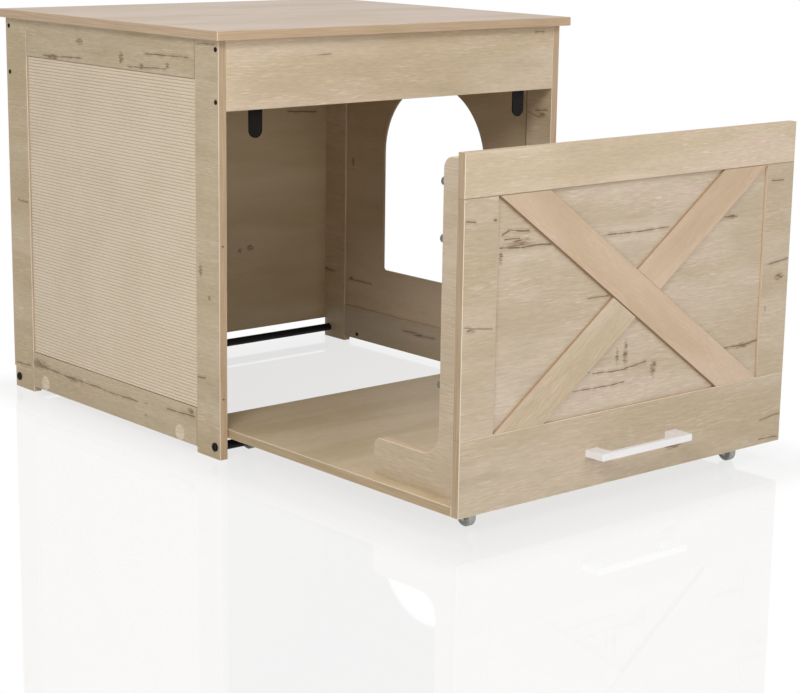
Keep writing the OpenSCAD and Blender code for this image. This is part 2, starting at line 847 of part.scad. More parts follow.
// a wheel with a rounded tread, a thin web and a hub that runs on the axle
module caster_wheel(k) {
  r = wheel_d / 2;
  half = wheel_w / 2;
  color(grey) at_caster(k) translate([0, 0, axle_z]) rotate([0, 90, 0]) difference() {
    union() {
      translate([0, 0, -half + wheel_soft]) cylinder(r = r, h = wheel_w - 2 * wheel_soft);
      for (s = [0, 1]) mirror([0, 0, s]) translate([0, 0, half - wheel_soft])
        cylinder(r1 = r, r2 = r - wheel_fall, h = wheel_soft);
    }
    for (s = [0, 1]) mirror([0, 0, s]) translate([0, 0, half - wheel_dish]) difference() {
      cylinder(r = r - tread_wall, h = wheel_dish + eps);
      translate([0, 0, -eps]) cylinder(r = axle_d / 2 + hub_wall, h = wheel_dish + 3 * eps);
    }
    translate([0, 0, -half - eps]) cylinder(r = axle_d / 2 + run_gap, h = wheel_w + 2 * eps);
  }
}
module caster_wheel_fl() { caster_wheel(0); }
module caster_wheel_fr() { caster_wheel(1); }
module caster_wheel_rl() { caster_wheel(2); }
module caster_wheel_rr() { caster_wheel(3); }

module caster_axles() {
  reach = fork_x + fork_t + axle_head;
  color(steel) for (k = [0:3]) at_caster(k) {
    rod_x([-reach, 0, axle_z], axle_d / 2, 2 * reach);
    for (s = [0, 1]) mirror([s, 0, 0])
      rod_x([fork_x + fork_t + seat_gap, 0, axle_z], axle_d / 2 + axle_head, axle_head);
  }
}

module caster_screws() {
  color(steel) on_drawer() for (s = plate_screw_spots)
    translate([s[0], s[1], -plate_t]) rotate([180, 0, 0])
      flat_screw(pin_r, plate_screw_l - seat_gap, plate_head_r, plate_head_h);
}

top_board();
left_front_stile();
left_rear_stile();
left_top_rail();
left_bottom_rail();
left_panel();
scratch_mat();
right_front_stile();
right_rear_stile();
right_top_rail();
right_bottom_rail();
right_panel();
back_panel();
front_apron();
rear_rail();
rear_tube();
left_front_stub();
right_front_stub();
tube_bolts();
apron_screws();
rear_rail_screws();
back_panel_screws();
hole_covers();
left_stop_plate();
right_stop_plate();
stop_plate_screws();
side_dowels();
top_cams();
top_cam_bolts();
drawer_top_rail();
drawer_bottom_rail();
drawer_left_stile();
drawer_right_stile();
drawer_panel();
brace_long();
brace_upper();
brace_lower();
tray_board();
left_gusset();
right_gusset();
gusset_bolts();
gusset_screws();
drawer_dowels();
tray_dowels();
handle();
handle_screws();
caster_fork_fl();
caster_fork_fr();
caster_fork_rl();
caster_fork_rr();
caster_wheel_fl();
caster_wheel_fr();
caster_wheel_rl();
caster_wheel_rr();
caster_axles();
caster_screws();
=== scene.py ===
import json
import math

import bmesh
import bpy
import numpy as np
from mathutils import Matrix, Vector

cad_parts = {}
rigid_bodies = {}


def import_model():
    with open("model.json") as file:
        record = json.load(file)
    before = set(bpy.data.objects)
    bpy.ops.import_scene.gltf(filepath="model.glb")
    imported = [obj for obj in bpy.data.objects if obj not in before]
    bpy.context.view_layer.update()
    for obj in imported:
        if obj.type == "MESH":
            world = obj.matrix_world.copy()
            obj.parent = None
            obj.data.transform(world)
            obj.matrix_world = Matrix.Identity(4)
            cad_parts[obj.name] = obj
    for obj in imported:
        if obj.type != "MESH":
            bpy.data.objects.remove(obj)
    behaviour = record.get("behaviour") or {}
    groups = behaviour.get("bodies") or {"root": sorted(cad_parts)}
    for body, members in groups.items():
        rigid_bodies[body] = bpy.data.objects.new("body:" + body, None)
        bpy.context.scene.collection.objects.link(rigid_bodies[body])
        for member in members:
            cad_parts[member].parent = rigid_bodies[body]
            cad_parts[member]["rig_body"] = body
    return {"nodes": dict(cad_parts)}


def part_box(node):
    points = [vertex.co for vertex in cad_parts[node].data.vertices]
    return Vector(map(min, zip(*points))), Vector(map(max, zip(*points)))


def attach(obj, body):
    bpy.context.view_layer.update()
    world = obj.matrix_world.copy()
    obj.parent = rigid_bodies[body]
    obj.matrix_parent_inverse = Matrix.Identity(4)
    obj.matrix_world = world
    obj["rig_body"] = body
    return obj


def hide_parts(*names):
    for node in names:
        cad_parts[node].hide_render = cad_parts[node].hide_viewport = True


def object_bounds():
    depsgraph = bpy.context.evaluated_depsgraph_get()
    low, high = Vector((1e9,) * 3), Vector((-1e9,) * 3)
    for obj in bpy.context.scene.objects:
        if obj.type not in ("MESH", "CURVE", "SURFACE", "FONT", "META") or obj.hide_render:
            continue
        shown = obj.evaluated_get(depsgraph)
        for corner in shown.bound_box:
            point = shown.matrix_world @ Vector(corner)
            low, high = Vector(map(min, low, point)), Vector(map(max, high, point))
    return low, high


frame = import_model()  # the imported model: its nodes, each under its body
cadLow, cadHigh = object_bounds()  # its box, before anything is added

scene = bpy.context.scene
cadNodes = frame["nodes"]
mm = 0.001


def srgb(red, green, blue):
    # 0-255 screen values to the linear colour that a shader takes
    channels = [c / 255 for c in (red, green, blue)]
    linear = [c / 12.92 if c <= 0.04045 else ((c + 0.055) / 1.055) ** 2.4 for c in channels]
    return (*linear, 1.0)


def addNode(tree, kind, inputs=None, **settings):
    # inputs maps a socket's name or number to a value or to another node's socket
    made = tree.nodes.new(kind)
    for name, value in settings.items():
        setattr(made, name, value)
    for name, value in (inputs or {}).items():
        if isinstance(value, bpy.types.NodeSocket):
            tree.links.new(value, made.inputs[name])
        else:
            made.inputs[name].default_value = value
    return made


def maths(tree, operation, *values, clamp=False):
    return addNode(tree, "ShaderNodeMath", dict(enumerate(values)),
                   operation=operation, use_clamp=clamp).outputs[0]


def vectors(tree, operation, *values):
    made = addNode(tree, "ShaderNodeVectorMath", dict(enumerate(values)), operation=operation)
    return made.outputs["Value" if operation in ("DOT_PRODUCT", "LENGTH") else "Vector"]


def combine(tree, *values):
    return addNode(tree, "ShaderNodeCombineXYZ", dict(enumerate(values))).outputs[0]


def split(tree, value):
    return addNode(tree, "ShaderNodeSeparateXYZ", {0: value}).outputs


def blendColour(tree, share, first, second, mode="MIX"):
    # a Mix node takes its two colours at sockets 6 and 7 and gives one at 2
    made = addNode(tree, "ShaderNodeMix", {0: share, 6: first, 7: second},
                   data_type="RGBA", blend_type=mode)
    return made.outputs[2]


def tinted(tree, colour, tint):
    return blendColour(tree, 1.0, colour, (*tint, 1), "MULTIPLY")


def ramp(tree, value, low, high, start=0.0, end=1.0, smooth=True):
    # value from low..high to start..end
    made = addNode(tree, "ShaderNodeMapRange", {0: value, 1: low, 2: high, 3: start, 4: end},
                   interpolation_type="SMOOTHSTEP" if smooth else "LINEAR")
    return made.outputs[0]


def noise(tree, place, lumps, detail=2.0, rough=0.5, shift=(0, 0, 0)):
    # noise with so many lumps a metre along each axis
    moved = addNode(tree, "ShaderNodeMapping",
                    {"Vector": place, "Location": shift, "Scale": lumps}, vector_type="POINT")
    made = addNode(tree, "ShaderNodeTexNoise", {"Vector": moved.outputs[0], "Scale": 1.0,
                                                "Detail": detail, "Roughness": rough})
    return made.outputs[0]


def newGroup(name, inputs, outputs):
    tree = bpy.data.node_groups.new(name, "ShaderNodeTree")
    for way, sockets in (("INPUT", inputs), ("OUTPUT", outputs)):
        for label, kind in sockets.items():
            tree.interface.new_socket(label, in_out=way, socket_type="NodeSocket" + kind)
    start = tree.nodes.new("NodeGroupInput").outputs
    end = tree.nodes.new("NodeGroupOutput").inputs
    return tree, start, end


def useGroup(tree, group, inputs):
    return addNode(tree, "ShaderNodeGroup", inputs, node_tree=group).outputs


def newMaterial(name):
    # the material, its tree, its shader and the coordinates to draw with
    material = bpy.data.materials.new(name)
    material.use_nodes = True
    tree = material.node_tree
    texture = tree.nodes.new("ShaderNodeTexCoord").outputs
    return material, tree, tree.nodes["Principled BSDF"], texture


def addBump(tree, shader, height, strength, depth):
    bump = addNode(tree, "ShaderNodeBump",
                   {"Strength": strength, "Distance": depth, "Height": height})
    tree.links.new(bump.outputs[0], shader.inputs["Normal"])


def camel(words):
    first, *rest = words.split("_")
    return first + "".join(word.capitalize() for word in rest)


# the printed oak; lumps are counted in a metre along the grain, across it and through the board
oak = {
    "cream": srgb(211, 193, 169),
    "tan": srgb(200, 181, 152),
    "pinkish": srgb(212, 188, 168),
    "grey": srgb(192, 174, 149),
    "crack": srgb(108, 78, 50),  # and knots
    # dark joint lines, partly painted shade in the joints
    "seam": srgb(100, 76, 50),
    "fleck": srgb(236, 224, 206),
    # painted shade in drilled holes
    "hole": srgb(30, 24, 18),
    "band": srgb(208, 183, 153),  # the edge strips
    "bandDark": srgb(192, 164, 132),
    "corner": srgb(248, 234, 210),  # painted highlight on the rounded edges
    "roughness": 0.5,
    "broadLumps": (3, 14, 14),  # cream and tan
    "cloudLumps": (6, 30, 30),  # pinkish and grey, and where flecks and cracks show
    "streakLumps": (20, 330, 330),
    "fibreLumps": (75, 640, 640),
    "fleckLumps": (55, 720, 720),
    "contourLumps": (4, 44, 44),  # a crack follows one contour of it
    "bandLumps": (14, 600, 600),
    "gritLumps": (90, 900, 900),
    "gritDepth": 0.1 * mm,
    "pinkShare": 0.7,
    "greyShare": 0.7,
    "streakLevel": (-0.055, 0.05),  # how much a streak darkens and lightens
    "fibreLevel": (-0.09, 0.07),
    "shineLevel": (-0.05, 0.07),  # the streaks' change of roughness
    "fleckShare": 0.4,
    "crackShare": 0.65,
    "smokeShare": 0.18,  # the soft dark on both sides of a crack
    # how strong the painted edge highlight gets
    "edgeHighlightShare": 0.85,
    "wideShadowSeam": 0.95,  # a wide painted shadow's width in mm and its darkness at once
    "thinSeam": 0.6,
    "seamFade": 2.4,  # how far a joint's edge fades, in its widths
    "step": (1.37, 0.83, 0.59),  # how far the print moves on from board to board, metres
}


def makeOakPrint():
    # broad tones, long streaks, fine fibres, pale flecks and thin dark cracks
    tree, start, end = newGroup("oakPrint",
                                {"Place": "Vector", "Cracks": "Float", "Depth": "Float"},
                                {"Colour": "Color", "Shine": "Float"})
    place, depth = start["Place"], start["Depth"]
    broad = noise(tree, place, oak["broadLumps"], 2, 0.6)
    cloud = noise(tree, place, oak["cloudLumps"], 3, 0.62, (3, 1, 0))
    streak = noise(tree, place, oak["streakLumps"], 2, 0.6, (1, 4, 0))
    fibre = noise(tree, place, oak["fibreLumps"], 1, 0.6, (2, 6, 0))
    fleck = noise(tree, place, oak["fleckLumps"], 0, 0.5, (5, 2, 0))
    contour = noise(tree, place, oak["contourLumps"], 1, 0.4, (4, 9, 0))
    colour = blendColour(tree, ramp(tree, broad, 0.38, 0.62), oak["cream"], oak["tan"])
    rosy = ramp(tree, cloud, 0.53, 0.72, 0, oak["pinkShare"])
    colour = blendColour(tree, rosy, colour, oak["pinkish"])
    greyed = maths(tree, "MULTIPLY", ramp(tree, cloud, 0.47, 0.28, 0, oak["greyShare"]), depth)
    colour = blendColour(tree, greyed, colour, oak["grey"])
    fine = maths(tree, "ADD", ramp(tree, streak, 0.30, 0.70, *oak["streakLevel"], False),
                 ramp(tree, fibre, 0.28, 0.72, *oak["fibreLevel"], False))
    level = maths(tree, "ADD", maths(tree, "MULTIPLY", fine, depth), 1.0)
    colour = vectors(tree, "MULTIPLY", colour, combine(tree, level, level, level))
    pale = maths(tree, "MULTIPLY", ramp(tree, fleck, 0.58, 0.72, 0, oak["fleckShare"]),
                 ramp(tree, cloud, 0.42, 0.58))
    colour = blendColour(tree, maths(tree, "MULTIPLY", pale, depth), colour, oak["fleck"])
    line = maths(tree, "ABSOLUTE", maths(tree, "SUBTRACT", contour, 0.5))
    here = maths(tree, "MULTIPLY", ramp(tree, cloud, 0.56, 0.64), start["Cracks"])
    crack = maths(tree, "MULTIPLY", ramp(tree, line, 0.002, 0.008, oak["crackShare"], 0), here)
    smoke = maths(tree, "MULTIPLY", ramp(tree, line, 0.0, 0.05, oak["smokeShare"], 0), here)
    colour = blendColour(tree, maths(tree, "MAXIMUM", crack, smoke), colour, oak["crack"])
    tree.links.new(colour, end["Colour"])
    tree.links.new(ramp(tree, streak, 0.3, 0.7, *oak["shineLevel"], False), end["Shine"])
    return tree


def makeEdgeBand():
    # a plain warm edge strip with fine lines along it
    tree, start, end = newGroup("edgeBand", {"Place": "Vector"}, {"Colour": "Color"})
    line = ramp(tree, noise(tree, start["Place"], oak["bandLumps"], 2, 0.6), 0.3, 0.7)
    tree.links.new(blendColour(tree, line, oak["band"], oak["bandDark"]), end["Colour"])
    return tree


# the dark marks that are placed one by one on the print
ink = {
    "darkness": 0.8,
    "waver": 1.1 * mm,  # how far a crack strays to either side
    "waverLumps": (24, 4, 4),
    "widths": (0.45, 1.15),  # a crack's width runs between these shares of the one given
    "widthLumps": (75, 90, 90),
    "halo": 0.22,  # the soft dark on both sides of a crack
    "torn": (1.0, 0.7, 0.8),  # how far a knot's outline and stripes are torn
    "tornLumps": (90, 460, 1),
}


def makeCrackMark():
    # a dark line between two places that wavers, thins towards its ends and breaks up
    tree, start, end = newGroup(
        "crackMark", {"Place": "Vector", "From": "Vector", "To": "Vector", "Width": "Float",
                      "Waver": "Float", "Broken": "Float"}, {"Mask": "Float"})
    run = vectors(tree, "SUBTRACT", start["To"], start["From"])
    lead = vectors(tree, "SUBTRACT", start["Place"], start["From"])
    share = maths(tree, "DIVIDE", vectors(tree, "DOT_PRODUCT", lead, run),
                  vectors(tree, "DOT_PRODUCT", run, run))
    along = addNode(tree, "ShaderNodeVectorMath", {0: run, 3: share}, operation="SCALE").outputs[0]
    off = split(tree, vectors(tree, "SUBTRACT", lead, along))
    miss = maths(tree, "ABSOLUTE", maths(tree, "ADD", off[1], start["Waver"]))
    ends = maths(tree, "MULTIPLY", ramp(tree, share, 0.0, 0.1), ramp(tree, share, 0.9, 1.0, 1, 0))
    width = maths(tree, "MULTIPLY", start["Width"], start["Broken"])
    near = maths(tree, "DIVIDE", miss, width)
    line = ramp(tree, near, 0.4, 1.2, 1, 0)
    halo = ramp(tree, near, 0.8, 5.5, ink["halo"], 0)
    mask = maths(tree, "MULTIPLY", maths(tree, "MAXIMUM", line, halo), ends)
    tree.links.new(mask, end["Mask"])
    return tree


def makeKnotMark():
    # a smudge: an oval torn along the grain, striped inside
    tree, start, end = newGroup("knotMark", {"Place": "Vector", "Middle": "Vector",
                                             "Size": "Vector", "Torn": "Vector"}, {"Mask": "Float"})
    lead = vectors(tree, "SUBTRACT", start["Place"], start["Middle"])
    lead = vectors(tree, "ADD", vectors(tree, "DIVIDE", lead, start["Size"]), start["Torn"])
    far = vectors(tree, "LENGTH", vectors(tree, "MULTIPLY", lead, (1, 1, 0)))
    stripe = ramp(tree, split(tree, start["Torn"])[2], -0.25, 0.2, 0.3, 1.0)
    mask = maths(tree, "MULTIPLY", ramp(tree, far, 0.4, 1.35, 1, 0), stripe)
    tree.links.new(mask, end["Mask"])
    return tree


oakPrint = makeOakPrint()
edgeBand = makeEdgeBand()
crackMark = makeCrackMark()
knotMark = makeKnotMark()


def drawMarks(tree, place, knots, lines):
    # how dark the knots and cracks of one board are, the darkest wins; None where it has none
    masks = []
    if lines:
        slow = noise(tree, place, ink["waverLumps"], 1, 0.5)
        waver = ramp(tree, slow, 0.2, 0.8, -ink["waver"], ink["waver"], False)
        patchy = noise(tree, place, ink["widthLumps"], 1, 0.5, (3, 3, 0))
        broken = ramp(tree, patchy, 0.34, 0.52, *ink["widths"])
    if knots:
        streaky = vectors(tree, "MULTIPLY", place, ink["tornLumps"])
        torn = addNode(tree, "ShaderNodeTexNoise", {"Vector": streaky, "Scale": 1.0, "Detail": 1.0})
        torn = vectors(tree, "MULTIPLY_ADD", torn.outputs[1], [2 * reach for reach in ink["torn"]],
                       [-reach for reach in ink["torn"]])
    for u, v, u2, v2, thick in lines:
        masks.append(useGroup(tree, crackMark, {
            "Place": place, "From": (u * mm, v * mm, 0), "To": (u2 * mm, v2 * mm, 0),
            "Width": thick * mm, "Waver": waver, "Broken": broken})["Mask"])
    for u, v, halfWide, halfHigh in knots:
        masks.append(useGroup(tree, knotMark, {
            "Place": place, "Middle": (u * mm, v * mm, 0), "Torn": torn,
            "Size": (halfWide * mm, halfHigh * mm, 1)})["Mask"])
    dark = None
    for mask in masks:
        dark = mask if dark is None else maths(tree, "MAXIMUM", dark, mask)
    return dark


def paintEdgeHighlights(tree, colour, facing, words):
    # painted highlight: a pale line on the rounded edge where an edge strip meets a face along the
    # grain (long) or at the board's ends (ends), or where two edge strips meet (corner)
    meetings = {"ends": (0, 2), "long": (1, 2), "corner": (0, 1)}
    for first, second in (meetings[word] for word in words.split()):
        rounded = maths(tree, "MULTIPLY", facing[first], facing[second])
        edgeHighlight = ramp(tree, rounded, 0.15, 0.35, 0.0, oak["edgeHighlightShare"])
        colour = blendColour(tree, edgeHighlight, colour, oak["corner"])
    return colour


def spanAlong(nodeName, axis):
    # how far a CAD node reaches along a direction, low end and high end
    mesh = cadNodes[nodeName].data
    points = np.empty(len(mesh.vertices) * 3)
    mesh.vertices.foreach_get("co", points)
    along = points.reshape(-1, 3) @ np.array(axis)
    return float(along.min()), float(along.max())


def darkenSeamsAndShade(tree, colour, where, spans, isFace, words):
    # a dark joint line at the low or high end of the print or at its bottom edge, partly painted
    # shade in the joint; a word that starts with a capital makes it wide and dark: a painted shadow
    edges = {"low": (0, 0), "high": (0, 1), "bottom": (1, 0)}
    for word in words.split():
        strength = oak["wideShadowSeam"] if word[0].isupper() else oak["thinSeam"]
        axis, side = edges[word.lower()]
        gap = maths(tree, "ABSOLUTE", maths(tree, "SUBTRACT", where[axis], spans[axis][side]))
        near = ramp(tree, gap, strength * mm, oak["seamFade"] * strength * mm, strength, 0.0)
        colour = blendColour(tree, maths(tree, "MULTIPLY", near, isFace), colour, oak["seam"])
    return colour


def paintHoleShade(tree, colour, place, holes):
    # painted shade: a drilled hole's mouth and walls painted near black, for the shade inside it
    for u, v, radius in holes:
        off = vectors(tree, "LENGTH", vectors(tree, "SUBTRACT", place, (u * mm, v * mm, 0)))
        inside = maths(tree, "LESS_THAN", off, radius * mm)
        colour = blendColour(tree, inside, colour, oak["hole"])
    return colour


def makeBoardMaterial(nodeName, number):
    # the printed face, the edge strips round it, and what its marks, painted edge highlights,
    # dark joints with painted shade and painted shade in its holes add
    lying, cracks, toneName, edgeHighlight, seamsAndShade = boards[nodeName]
    tint, depth, stripTint, gloss = tones[toneName]
    seen = marks.get(nodeName, {})
    axes = lyings[lying]
    material, tree, shader, texture = newMaterial(camel(nodeName) + "Print")
    where = [vectors(tree, "DOT_PRODUCT", texture["Object"], axis) for axis in axes]
    turns = [vectors(tree, "DOT_PRODUCT", texture["Normal"], axis) for axis in axes]
    facing = [maths(tree, "ABSOLUTE", turn) for turn in turns]
    isFace = maths(tree, "GREATER_THAN", facing[2], 0.6)
    place = combine(tree, where[0], where[1])
    moved = vectors(tree, "ADD", place, [number * step for step in oak["step"]])
    face = useGroup(tree, oakPrint, {"Place": moved, "Cracks": cracks, "Depth": depth})
    colour = tinted(tree, face["Colour"], tint)
    dark = drawMarks(tree, place, seen.get("knots", ()), seen.get("lines", ()))
    if dark is not None:
        dark = maths(tree, "MULTIPLY", dark, ink["darkness"])
        colour = blendColour(tree, dark, colour, oak["crack"])
    # a strip's lines run along it: across the grain at the board's ends, with it elsewhere; the
    # Mix node takes its two vectors at sockets 4 and 5 and gives one at 1
    turned = combine(tree, where[1], where[2], where[0])
    straight = combine(tree, where[0], where[2], where[1])
    isEnd = maths(tree, "GREATER_THAN", facing[0], 0.5)
    runs = addNode(tree, "ShaderNodeMix", {0: isEnd, 4: straight, 5: turned}, data_type="VECTOR")
    strip = useGroup(tree, edgeBand, {"Place": runs.outputs[1]})
    colour = blendColour(tree, isFace, tinted(tree, strip["Colour"], stripTint), colour)
    # painted highlight along the rounded edges
    colour = paintEdgeHighlights(tree, colour, facing, edgeHighlight)
    spans = [spanAlong(nodeName, axis) for axis in axes]
    # dark joints, partly painted shade, and painted shadow at a recess step or brace edge
    colour = darkenSeamsAndShade(tree, colour, where, spans, isFace, seamsAndShade)
    colour = paintHoleShade(tree, colour, place, seen.get("holes", ()))
    tree.links.new(colour, shader.inputs["Base Color"])
    roughness = maths(tree, "ADD", face["Shine"], oak["roughness"])
    tree.links.new(roughness, shader.inputs["Roughness"])
    shader.inputs["Specular IOR Level"].default_value = gloss
    addBump(tree, shader, noise(tree, place, oak["gritLumps"], 1, 0.5), 0.3, oak["gritDepth"])
    return material


# how far a brace falls over how long a run, and what a step along it gives of each
braceFall, braceRun = 278 * mm, 386 * mm
slant = math.atan2(braceFall, braceRun)
fallStep, runStep = math.sin(slant), math.cos(slant)

# the way the print lies: along the grain, across it, through the board
lyings = {
    "side": ((0, 1, 0), (0, 0, 1), (1, 0, 0)),
    "front": ((1, 0, 0), (0, 0, 1), (0, 1, 0)),
    "flat": ((1, 0, 0), (0, 1, 0), (0, 0, 1)),
    "downRight": ((runStep, 0, -fallStep), (fallStep, 0, runStep), (0, 1, 0)),
    "upRight": ((runStep, 0, fallStep), (-fallStep, 0, runStep), (0, 1, 0)),
}

# what each board's print shows, read off the real one, in mm of the part's frame:
# knots (u, v, half width, half height), lines (u, v, u, v, half thickness), holes (u, v, radius),
# whose dark is painted shade
marks = {
    "left_top_rail": {
        "knots": [(196, 508, 6, 8), (148, 499, 5, 5), (374, 496, 22, 4), (300, 523, 9, 5),
                  (87, 505, 5, 4)],
        "lines": [(186, 497, 84, 501, 0.7), (145, 517, 34, 519, 0.9), (402, 497, 290, 500, 1.0)]},
    "left_front_stile": {
        "knots": [(15, 246, 4, 8), (-4, 213, 3, 3)],
        "lines": [(22, 538, -21, 539, 0.7), (25, 103, 4, 105, 0.9)]},
    "left_rear_stile": {"lines": [(495, 37, 448, 38, 0.9), (478, 282, 446, 282, 0.8)]},
    "left_bottom_rail": {
        "knots": [(428, 45, 26, 7), (337, 40, 16, 4), (40, 53, 7, 4)],
        "lines": [(440, 43, 367, 42, 1.2), (376, 42, 303, 41, 1.3), (306, 41, 219, 40, 0.9),
                  (225, 40, 162, 41, 0.9), (154, 42, 142, 43, 0.7), (99, 45, 51, 47, 0.9),
                  (61, 47, 29, 47, 1.2), (151, 26, 144, 25, 0.7)],
        "holes": [(65.5, 16, 3.2), (410.5, 16, 3.2)]},
    "drawer_left_stile": {
        "knots": [(-238, 371, 3, 2), (-273, 247, 8, 3)],
        "lines": [(-284, 374, -267, 371, 0.8), (-286, 253, -236, 245, 0.6)]},
    "drawer_right_stile": {
        "knots": [(267, 250, 8, 5), (243, 212, 2, 4)],
        "lines": [(241, 377, 269, 376, 0.8), (241, 268, 287, 273, 0.9)]},
    "drawer_bottom_rail": {
        "knots": [(76, 55, 14, 4)],
        "lines": [(240, 61, 287, 65, 0.8), (241, 36, 287, 33, 0.8)]},
    "drawer_panel": {
        "knots": [(-196, 341, 20, 5), (-225, 325, 3, 9), (173, 337, 8, 3), (-12, 184, 4, 15),
                  (38, 160, 6, 10), (-27, 184, 3, 10), (205, 166, 14, 4)],
        "lines": [(-225, 351, -211, 357, 1.0), (-214, 357, -178, 352, 1.1),
                  (-229, 337, -192, 335, 1.4), (-198, 335, -142, 334, 1.2),
                  (-222, 346, -194, 346, 0.8), (-64, 335, 63, 334, 0.9), (-84, 262, -43, 261, 0.7),
                  (157, 337, 186, 336, 1.1), (168, 168, 204, 167, 1.0), (196, 167, 240, 170, 1.1),
                  (-72, 169, -7, 165, 0.9), (-16, 166, 28, 171, 1.0), (-105, 151, -53, 150, 0.8),
                  (-60, 150, -10, 150, 0.9), (-94, 165, -72, 172, 0.8)]},
    "back_panel": {
        "knots": [(133, 164, 7, 5), (113, 162, 4, 4)],
        "lines": [(205, 380, 272, 375, 1.2)]},
    "right_rear_stile": {"knots": [(492, 114, 8, 3)], "lines": [(500, 115, 468, 112, 1.0)]},
    "right_panel": {
        "knots": [(429, 299, 3, 8), (430, 106, 6, 4)],
        "lines": [(443, 104, 373, 104, 0.8)]},
    "right_bottom_rail": {
        "knots": [(258, 41, 18, 4)],
        "lines": [(302, 42, 210, 42, 1.0)],
        "holes": [(65.5, 16, 3.2), (410.5, 16, 3.2)]},
    "right_front_stile": {
        "knots": [(-6, 416, 9, 4)],
        "lines": [(24, 418, -6, 411, 1.0), (8, 421, -20, 423, 1.0)]},
    "front_apron": {"lines": [(249, 537, 271, 537, 0.8), (-145, 520, -118, 521, 0.5)]},
}

# each tone: the print's tint, how deep its fine grain shows, the edge strip's tint, the gloss;
# the tints hold the boards' own tones and also painted light and shade, set board by board
tones = {
    "plain": ((1, 1, 0.97), 0.8, (1.05, 1.05, 1.07), 0.25),
    # painted shade: the inside bottom rail darkened as if in the cabinet's shade
    "shade": ((0.8, 0.79, 0.77), 0.5, (1.0, 1.0, 1.0), 0.25),
    "left": ((1, 1, 0.93), 0.9, (1, 1, 1), 0.25),
    # painted light: the edge strip in the recess made paler, as if lit
    "leftStile": ((1.04, 1.03, 0.96), 0.9, (1.3, 1.42, 1.6), 0.25),
    "leftRail": ((1, 1, 0.93), 0.9, (1.1, 1.2, 1.3), 0.25),
    "front": ((0.95, 0.95, 0.94), 0.85, (0.88, 0.88, 0.86), 0.25),
    # painted light: the right stile's inner edge strip made paler, as if lit
    "frontRight": ((0.95, 0.95, 0.94), 0.85, (1.2, 1.3, 1.45), 0.25),
    "panel": ((1.0, 1.01, 1.04), 0.85, (1, 1, 1), 0.25),
    # painted light: the drawer's top rail lighter, as if lit from above
    "pale": ((1.12, 1.12, 1.14), 0.8, (0.95, 0.95, 0.95), 0.25),
    # painted light: the apron lighter against the shade under the top's overhang
    "apron": ((1.18, 1.18, 1.18), 0.8, (1, 1, 1), 0.25),
    # painted shade and painted sheen: the top made darker and greyer
    "top": ((0.80, 0.78, 0.84), 0.12, (1.05, 1.04, 1.03), 0.5),
    "rosy": ((1.06, 0.98, 0.96), 0.5, (0.8, 0.75, 0.72), 0.25),
    "rosyPale": ((1.01, 1.0, 0.98), 0.7, (0.8, 0.75, 0.72), 0.25),
    "tray": ((1.02, 1.0, 0.92), 0.6, (0.88, 0.88, 0.79), 0.5),
    # painted light: the gussets lighter, as if lit from the left
    "gusset": ((1.07, 1.06, 1.06), 0.7, (1.15, 1.15, 1.15), 0.25),
    "back": ((0.99, 0.98, 0.90), 0.3, (1.1, 1.1, 1.1), 0.25),
    "entry": ((0.97, 0.96, 0.92), 0.4, (0.5, 0.48, 0.45), 0.25),
}

# every board: how its print lies, how many cracks show, its tone, which edges get a painted
# highlight, its dark joints with painted shade (a capital word: a wide painted shadow)
boards = {
    "top_board": ("flat", 0.0, "top", "corner", ""),
    "left_front_stile": ("side", 0.2, "left", "ends", ""),
    "left_rear_stile": ("side", 0.2, "leftStile", "ends", ""),
    "left_top_rail": ("side", 0.2, "left", "", "low high"),
    "left_bottom_rail": ("side", 0.2, "leftRail", "", "low high"),
    "left_panel": ("side", 0.6, "plain", "", ""),
    "right_front_stile": ("side", 0.4, "plain", "ends", "High"),
    "right_rear_stile": ("side", 0.4, "plain", "ends", ""),
    "right_top_rail": ("side", 0.6, "plain", "", "low high"),
    "right_bottom_rail": ("side", 0.4, "shade", "", "low high"),
    "right_panel": ("side", 0.3, "entry", "", "low high"),
    "back_panel": ("front", 0.2, "back", "", ""),
    "front_apron": ("front", 0.05, "apron", "", ""),
    "rear_rail": ("front", 0.4, "plain", "", ""),
    "drawer_top_rail": ("front", 0.0, "pale", "ends", "bottom"),
    "drawer_bottom_rail": ("front", 0.05, "front", "ends long", ""),
    "drawer_left_stile": ("front", 0.15, "front", "ends", ""),
    "drawer_right_stile": ("front", 0.15, "frontRight", "", ""),
    "drawer_panel": ("front", 0.1, "panel", "", ""),
    "brace_long": ("downRight", 0.0, "rosy", "", "Bottom"),
    "brace_upper": ("upRight", 0.0, "rosy", "", ""),
    "brace_lower": ("upRight", 0.1, "rosyPale", "", ""),
    "tray_board": ("flat", 0.1, "tray", "long ends corner", ""),
    "left_gusset": ("side", 0.1, "gusset", "long ends", ""),
    "right_gusset": ("side", 0.1, "gusset", "long ends", ""),
}

# the small round on the outer edges of a board or the handle
easing = {
    "board": 0.6 * mm,
    "handle": 0.7 * mm,
    "steps": 2,
    "sharp": math.radians(40),  # only edges sharper than this are rounded
    "shortest": 1.2 * mm,  # and longer than this
    "merge": 0.01 * mm,  # points closer than this become one
    "flat": math.radians(0.5),  # faces that differ by less become one
}


def bodyOf(nodeName):
    return cadNodes[nodeName]["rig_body"]


def dress(thing, material):
    thing.data.materials.clear()
    thing.data.materials.append(material)


